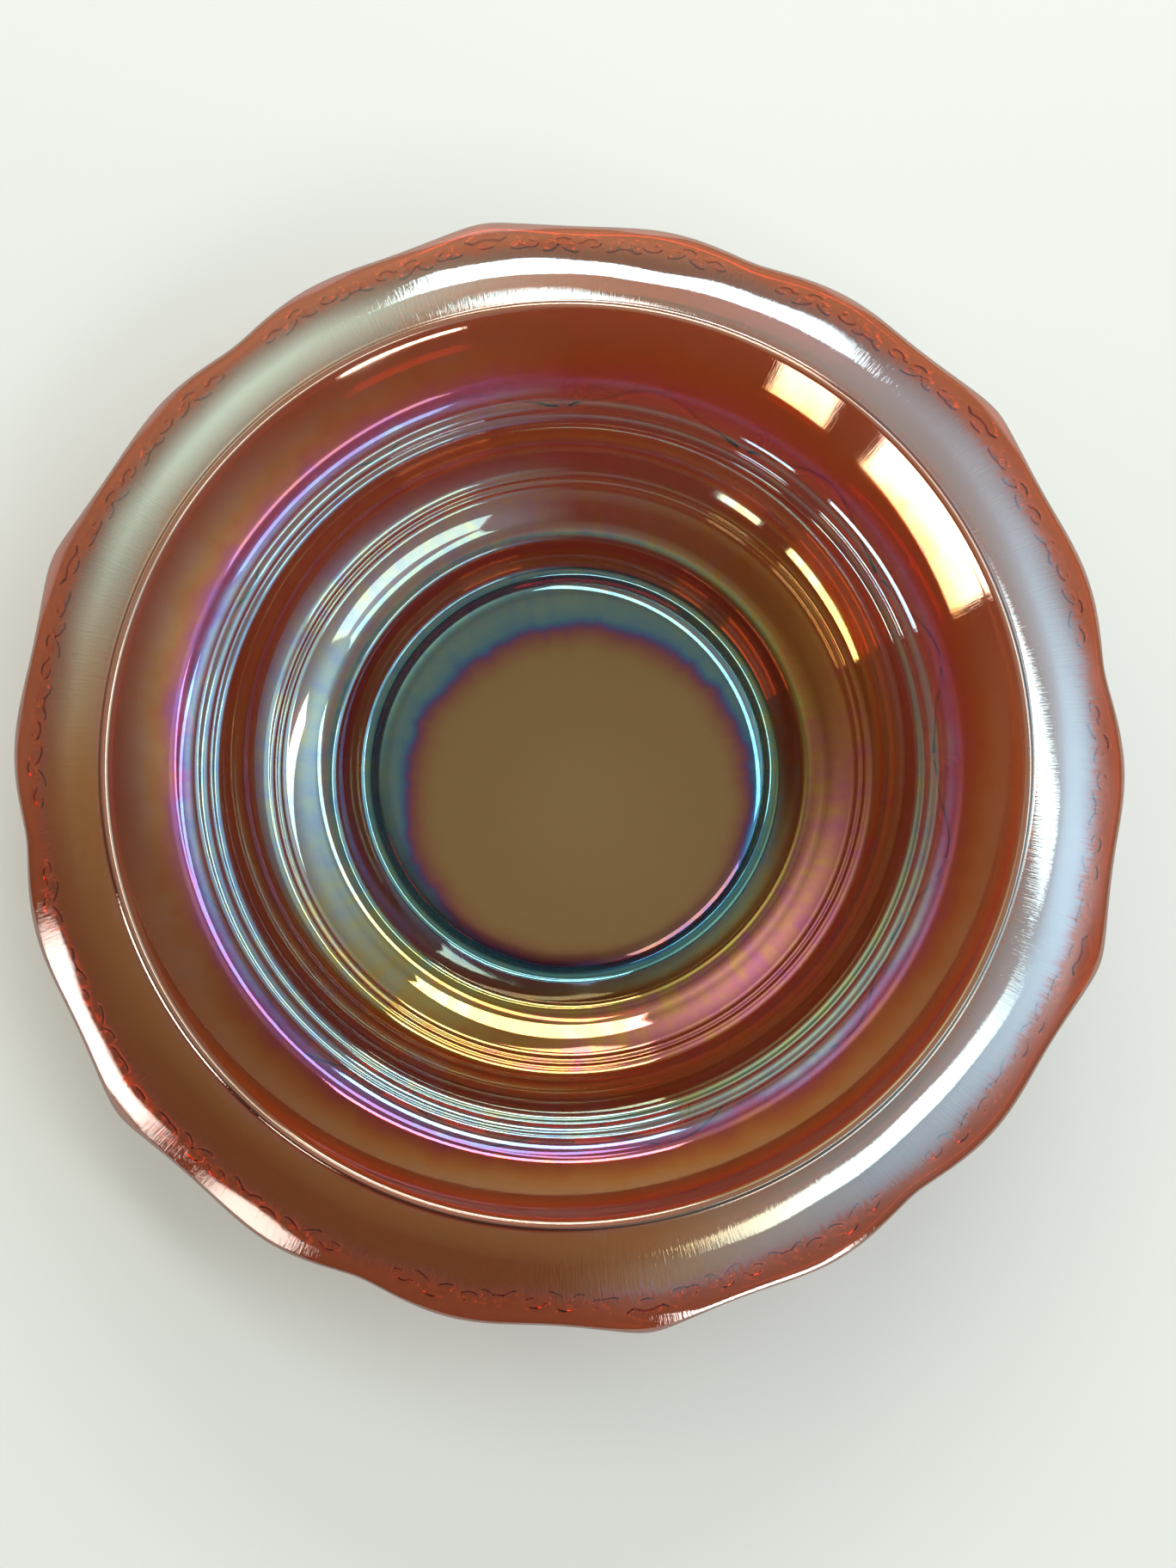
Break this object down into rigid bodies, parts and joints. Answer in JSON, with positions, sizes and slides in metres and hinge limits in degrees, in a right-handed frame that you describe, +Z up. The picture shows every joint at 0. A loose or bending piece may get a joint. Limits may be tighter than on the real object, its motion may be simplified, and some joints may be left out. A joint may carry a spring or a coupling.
{
  "type": "iridescent glass bowl",
  "caption": "Round pressed amber glass bowl with an iridescent lustre, a stepped and beaded wall, and a flared flange with a scalloped, pointed rim, on a low collar foot.",
  "frame": {"origin": "centre of the foot's circle, on the plane that the bowl stands on", "axes": "+Z up along the bowl's axis; +X through one of the six points of the rim; a notch of the rim is on +Y"},
  "size_m": [0.28, 0.2724, 0.0595],
  "materials": {
    "amber_glass": "fire-polished, transparent amber",
    "iridescent_lustre": "iridescent metallic lustre, gold to purple, blue and green"
  },
  "bodies": {
    "root": {"glass_body": "amber_glass", "lustre_film": "iridescent_lustre"}
  },
  "joints": []
}
